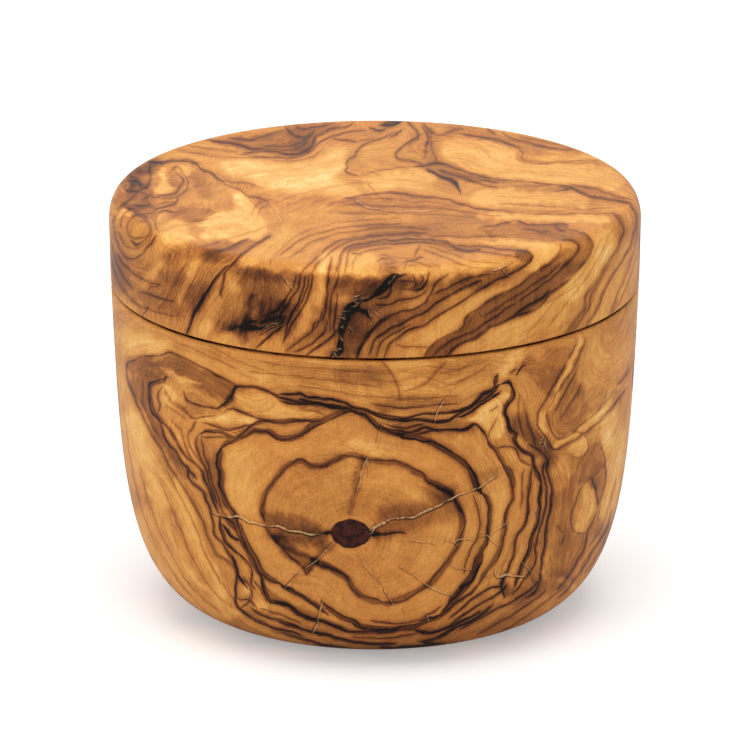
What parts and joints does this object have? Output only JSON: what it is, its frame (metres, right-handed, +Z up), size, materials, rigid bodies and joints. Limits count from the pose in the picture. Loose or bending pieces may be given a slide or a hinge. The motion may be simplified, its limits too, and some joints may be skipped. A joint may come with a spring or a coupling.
{
  "type": "salt cellar",
  "caption": "Round turned olive-wood salt cellar with a deep salt well and a thick lid that swivels sideways on a hidden rear pin and closes on a magnet.",
  "frame": {"origin": "centre of the bowl's flat foot, on the surface it stands on", "axes": "+Z up, +Y towards the rear, where the lid's pin stands, -Y towards the front, where the magnets meet, +X to the right seen from the front"},
  "size_m": [0.096, 0.096, 0.0771],
  "materials": {
    "bowl_wood": "oiled satin olive wood, dark figured heartwood",
    "lid_wood": "oiled satin olive wood, honey and brown figure",
    "pin_steel": "ground stainless steel",
    "bushing_brass": "turned brass",
    "washer_nylon": "natural nylon",
    "ring_rubber": "matte black rubber",
    "magnet_nickel": "nickel plating"
  },
  "bodies": {
    "bowl_side": {"bowl": "bowl_wood", "pivot_pin": "pin_steel", "retaining_ring": "ring_rubber", "spacer_washer": "washer_nylon", "bowl_magnet": "magnet_nickel"},
    "lid_side": {"lid": "lid_wood", "lid_bushing": "bushing_brass", "lid_magnet": "magnet_nickel"}
  },
  "joints": [
    {"name": "lid_swivel", "type": "hinge", "parent": "bowl_side", "child": "lid_side", "pos_m": [0, 0.0409, 0.0607], "axis": [0, 0, 1], "continuous": true}
  ]
}
